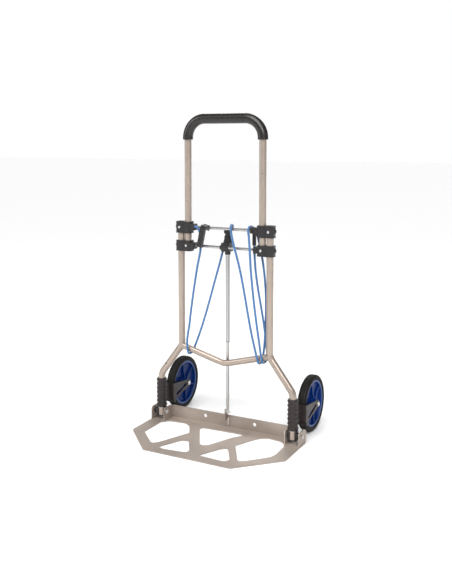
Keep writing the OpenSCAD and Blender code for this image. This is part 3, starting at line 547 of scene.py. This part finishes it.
def fork_trim(side):
    """Ribs on the fork's yoke and bands round its sleeve."""
    sleeve_off = 0.237
    rib_y0, rib_y1, rib_h, rib_pitch = 0.0425, 0.0545, 0.0016, 0.012
    rib_sunk, rib_proud = 0.0002, 0.0006
    edge_x, edge_half, edge_y0, edge_y1, edge_z0, edge_z1 = 0.016, 0.0008, 0.0394, 0.0402, 0.020, 0.064
    band_steps, band_pitch, band_reach = 56, 0.014, 0.09
    band_foot, band_head = 0.0038, 0.008
    band = [(0.0155, 0), (0.0168, 0.0007), (0.0172, 0.0016), (0.0172, 0.0050), (0.0168, 0.0059),
            (0.0155, 0.0066)]
    lo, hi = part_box("wheel_fork_" + side)
    wheel_x = (lo.x + hi.x) / 2
    sleeve_x = sum(v.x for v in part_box("fork_stop_rings")) / 2 + SIGN[side] * sleeve_off
    bm = bmesh.new()
    for face, out in ((lo.x, -1), (hi.x, 1)):
        for k in range(1, 5):
            z = lo.z + rib_pitch * k
            x0, x1 = sorted((face - out * rib_sunk, face + out * rib_proud))
            add_box(bm, (x0, rib_y0, z), (x1, rib_y1, z + rib_h))
    for x in (wheel_x - edge_x, wheel_x + edge_x):
        add_box(bm, (x - edge_half, edge_y0, lo.z + edge_z0), (x + edge_half, edge_y1, lo.z + edge_z1))
    circle = [2 * math.pi * k / band_steps for k in range(band_steps)]
    z = lo.z + band_foot
    while z < hi.z - band_head and z < lo.z + band_reach:
        add_loft(bm, [([(sleeve_x + r * math.cos(a), r * math.sin(a)) for a in circle], z + dz)
                      for r, dz in band])
        z += band_pitch
    extra("fork_" + side + "_ribs", bm, "fork_plastic", "fork_" + side, RIB_EDGE)


def hinge_trim(side):
    """A pressed washer round the head of a hinge bolt."""
    head = 0.0043
    lo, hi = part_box("hinge_bolt_" + side)
    c = (lo + hi) / 2
    s = SIGN[side]
    ear_x = s * (min(abs(lo.x), abs(hi.x)) + head)
    profile = [(0, 0.0057), (-s * 0.0012, 0.0057), (-s * 0.0014, 0.0062), (-s * 0.0010, 0.0082),
               (-s * 0.0006, 0.0090), (0, 0.0093)]
    bm = bmesh.new()
    add_lathe(bm, (ear_x, c.y, c.z), profile, WASHER_STEPS)
    extra("hinge_washer_" + side, bm, "zinc", BODY_OF["toe_plate"], 0)


# ---- Camera, light and floor ----------------------------------------------

CAMERA_PLACE = (1.149, -2.177, 0.9327)
CAMERA_DOWN = 0.0822
CAMERA_TURN = 0.4838
IMAGE_HEIGHT = 584
FOCAL = 787
SHIFT = -87
SENSOR = 36
AIM = (0, 0, 0.5)
FLOOR_SIZE = 30
FLOOR_GAP = 0.0005
# Name, place, size and power.
AREA_LIGHTS = (
    ("key", (2.2, -2.4, 2.3), (1.1, 1.1), 33),
    ("fill", (-2.3, -1.6, 1.9), (0.8, 1.8), 22),
    ("back", (-0.6, 2.6, 2.2), (2.0, 1.0), 20))
SUN_POWER = 3.0
SUN_WIDTH = 50
SUN_TILT = (40, 10)


def make_camera():
    """The photo's viewing angle. FOCAL and SHIFT are in units of which the image is 584 high."""
    cam = place("camera", bpy.data.cameras.new("camera"))
    cam.location = CAMERA_PLACE
    cam.rotation_euler = (math.pi / 2 - CAMERA_DOWN, 0, CAMERA_TURN)
    cam.data.sensor_width = SENSOR
    cam.data.lens = SENSOR * FOCAL / IMAGE_HEIGHT
    cam.data.shift_y = SHIFT / IMAGE_HEIGHT
    bpy.context.scene.camera = cam


def area_light(name, spot, size, power):
    """A soft rectangular light at spot, turned to the truck's middle."""
    light = bpy.data.lights.new(name, "AREA")
    light.shape = "RECTANGLE"
    light.size, light.size_y = size
    light.energy = power
    obj = place(name, light)
    obj.location = spot
    obj.rotation_euler = (Vector(AIM) - Vector(spot)).to_track_quat("-Z", "Y").to_euler()


def make_studio():
    """A pale matt floor, three area lights and a broad sun."""
    bm = bmesh.new()
    bmesh.ops.create_grid(bm, x_segments=2, y_segments=2, size=FLOOR_SIZE)
    me = bpy.data.meshes.new("floor")
    bm.to_mesh(me)
    bm.free()
    floor = place("floor", me)
    floor.location.z = cad_box[0][2] - FLOOR_GAP
    m = Mat("floor", (0.96, 0.96, 0.96), 0.85)
    m.roughness(m.noise(3, 2), 0.75, 0.85)
    me.materials.append(m.m)
    make_sky()
    for light in AREA_LIGHTS:
        area_light(*light)
    sun = place("sun", bpy.data.lights.new("sun", "SUN"))
    sun.data.energy = SUN_POWER
    sun.data.angle = math.radians(SUN_WIDTH)
    sun.rotation_euler = (math.radians(SUN_TILT[0]), math.radians(SUN_TILT[1]), 0)
    bpy.context.scene.view_settings.view_transform = "Standard"


def make_sky():
    """A pale room, with darker and brighter sides for the metal to mirror."""
    waves, wave_turn = 3, 0.6
    world = bpy.data.worlds.new("studio")
    world.use_nodes = True
    t = world.node_tree

    def math_node(operation, *values):
        n = t.nodes.new("ShaderNodeMath")
        n.operation = operation
        for socket, value in zip(n.inputs, values):
            if isinstance(value, (int, float)):
                socket.default_value = value
            else:
                t.links.new(value, socket)
        return n.outputs[0]

    sep = t.nodes.new("ShaderNodeSeparateXYZ")
    t.links.new(t.nodes.new("ShaderNodeTexCoord").outputs["Generated"], sep.inputs[0])
    around = math_node("ARCTAN2", sep.outputs["Y"], sep.outputs["X"])
    level = t.nodes.new("ShaderNodeMapRange")
    for name, value in (("From Min", -0.9), ("From Max", 0.4), ("To Min", 0.2), ("To Max", 1.0)):
        level.inputs[name].default_value = value
    wave = math_node("COSINE", math_node("MULTIPLY_ADD", around, waves, wave_turn))
    t.links.new(wave, level.inputs["Value"])
    sky = t.nodes["Background"]
    sky.inputs["Strength"].default_value = 0.5
    t.links.new(level.outputs[0], sky.inputs["Color"])
    pale = t.nodes.new("ShaderNodeBackground")
    pale.inputs["Color"].default_value = (1, 1, 1, 1)
    mix = t.nodes.new("ShaderNodeMixShader")
    t.links.new(t.nodes.new("ShaderNodeLightPath").outputs["Is Camera Ray"], mix.inputs[0])
    t.links.new(sky.outputs[0], mix.inputs[1])
    t.links.new(pale.outputs[0], mix.inputs[2])
    t.links.new(mix.outputs[0], t.nodes["World Output"].inputs["Surface"])
    bpy.context.scene.world = world


# ---- The elastic cord -----------------------------------------------------

CORD_RADIUS = 0.0035
END_HANDLE = 0.002

# The cord's middle line in millimetres, from the left bracket to the right hook, as in the CAD.
CORD = [
    [-104, -9.5, 658], [-98, -9.5, 657.6], [-83, -10.5, 638], [-80, -11, 600],
    [-92, -16, 520], [-116, -20.5, 350],
    [-128, -14.8, 258], [-127, -10, 243.2], [-124, 10, 243.2], [-120, 14.8, 256],
    [-112, 15, 275], [-38, 34, 530], [-18, 38, 600],
    [4, 40, 645], [14, 30, 661], [21, 4, 666.5], [27, -11, 658],
    [30.5, -12.3, 641], [60, -16, 540], [112, -18, 300],
    [122, -14.8, 257], [124, -10, 243], [127, 10, 243], [128, 14.8, 258],
    [129, 28, 330], [113, 23, 600], [102, 23, 640],
    [94, 19, 660], [88, 3, 666], [88, -11, 657],
    [90.5, -12.3, 640], [102, -20, 530], [132, -19, 300],
    [136.5, -14.8, 261], [138, -10, 246.6], [140.5, 10, 246.8], [141.5, 14.8, 261],
    [137, 18, 300], [99, 14, 560], [98, 12, 607],
]


def make_cord():
    """One smooth curve through CORD, with the slopes that the CAD's cord has."""
    p = [Vector(q) / 1000 for q in CORD]
    n = len(p)
    curve = bpy.data.curves.new("bungee", "CURVE")
    curve.dimensions = "3D"
    curve.bevel_depth = CORD_RADIUS
    curve.bevel_resolution = 4
    curve.resolution_u = 10
    curve.use_fill_caps = True
    spline = curve.splines.new("BEZIER")
    spline.bezier_points.add(n - 1)
    for i, b in enumerate(spline.bezier_points):
        if i == 0:
            t = (p[1] - p[0]).normalized()
        elif i == n - 1:
            t = (p[i] - p[i - 1]).normalized()
        else:
            a, c = (p[i] - p[i - 1]).length, (p[i + 1] - p[i]).length
            t = ((p[i] - p[i - 1]) / a * c + (p[i + 1] - p[i]) / c * a) / (a + c)
        b.handle_left_type = b.handle_right_type = "FREE"
        b.co = p[i]
        b.handle_left = p[i] - t * ((p[i] - p[i - 1]).length / 3 if i else END_HANDLE)
        b.handle_right = p[i] + t * ((p[i + 1] - p[i]).length / 3 if i < n - 1 else END_HANDLE)
    obj = place("bungee", curve)
    curve.materials.append(MATS["cord_sheath"])
    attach(obj, "frame")
    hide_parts("bungee_cord")
    return obj


# ---- The whole truck ------------------------------------------------------

# CAD nodes that only need rounded edges, with the width of the rounding.
BLACK_PARTS = (
    ("lock_housing", 0.0012), ("lock_cover", 0.001), ("release_trigger", 0.001),
    ("hinge_cup_left", 0.001), ("hinge_cup_right", 0.001),
    ("upper_crossbar_caps", 0.0006), ("lower_crossbar_caps", 0.0006))
ZINC_PARTS = (
    ("upper_bracket_rivets", 0.0009), ("lower_bracket_rivets", 0.0009),
    ("hinge_bolt_left", 0.0008), ("hinge_bolt_right", 0.0008), ("hinge_nuts", 0.0006),
    ("axle_left", 0.0008), ("axle_right", 0.0008), ("axle_nuts_left", 0.0008),
    ("axle_nuts_right", 0.0008), ("rod_bracket_rivets", 0.0005), ("rod_eye", 0.0006),
    ("rod_pivot_screw", 0.0006), ("lock_screws", 0.0004))
PLASTIC_EDGE = 0.0012
FORK_EDGE = 0.0009
PLATE_EDGE = 0.0006
SMALL_EDGE = 0.0005
GRIP_EDGE = 0.0022

make_camera()
make_studio()
bungee = make_cord()

for name, obj in NODES.items():
    paint(obj, SLOT_OF[name])

for n in ("upper_bracket_left", "upper_bracket_right", "lower_bracket_left", "lower_bracket_right"):
    bevelled(n, PLASTIC_EDGE, "black_plastic")
    bracket_trim(n)
for mat, parts in (("black_plastic", BLACK_PARTS), ("zinc", ZINC_PARTS)):
    for n, width in parts:
        bevelled(n, width, mat)
hooks = [bevelled(n, PLASTIC_EDGE, "black_plastic") for n in ("cord_hook_left", "cord_hook_right")]
for n in ("wheel_fork_left", "wheel_fork_right"):
    bevelled(n, FORK_EDGE, "fork_plastic")
bevelled("toe_plate", PLATE_EDGE, "plate_paint")
bevelled("rod_bracket", SMALL_EDGE, "plate_edge")
bevelled("handle_grip", GRIP_EDGE, "grip_foam")
lock_trim()
hook_trim()
for side in SIGN:
    make_tyre(side)
    make_rim(side)
    fork_trim(side)
    hinge_trim(side)
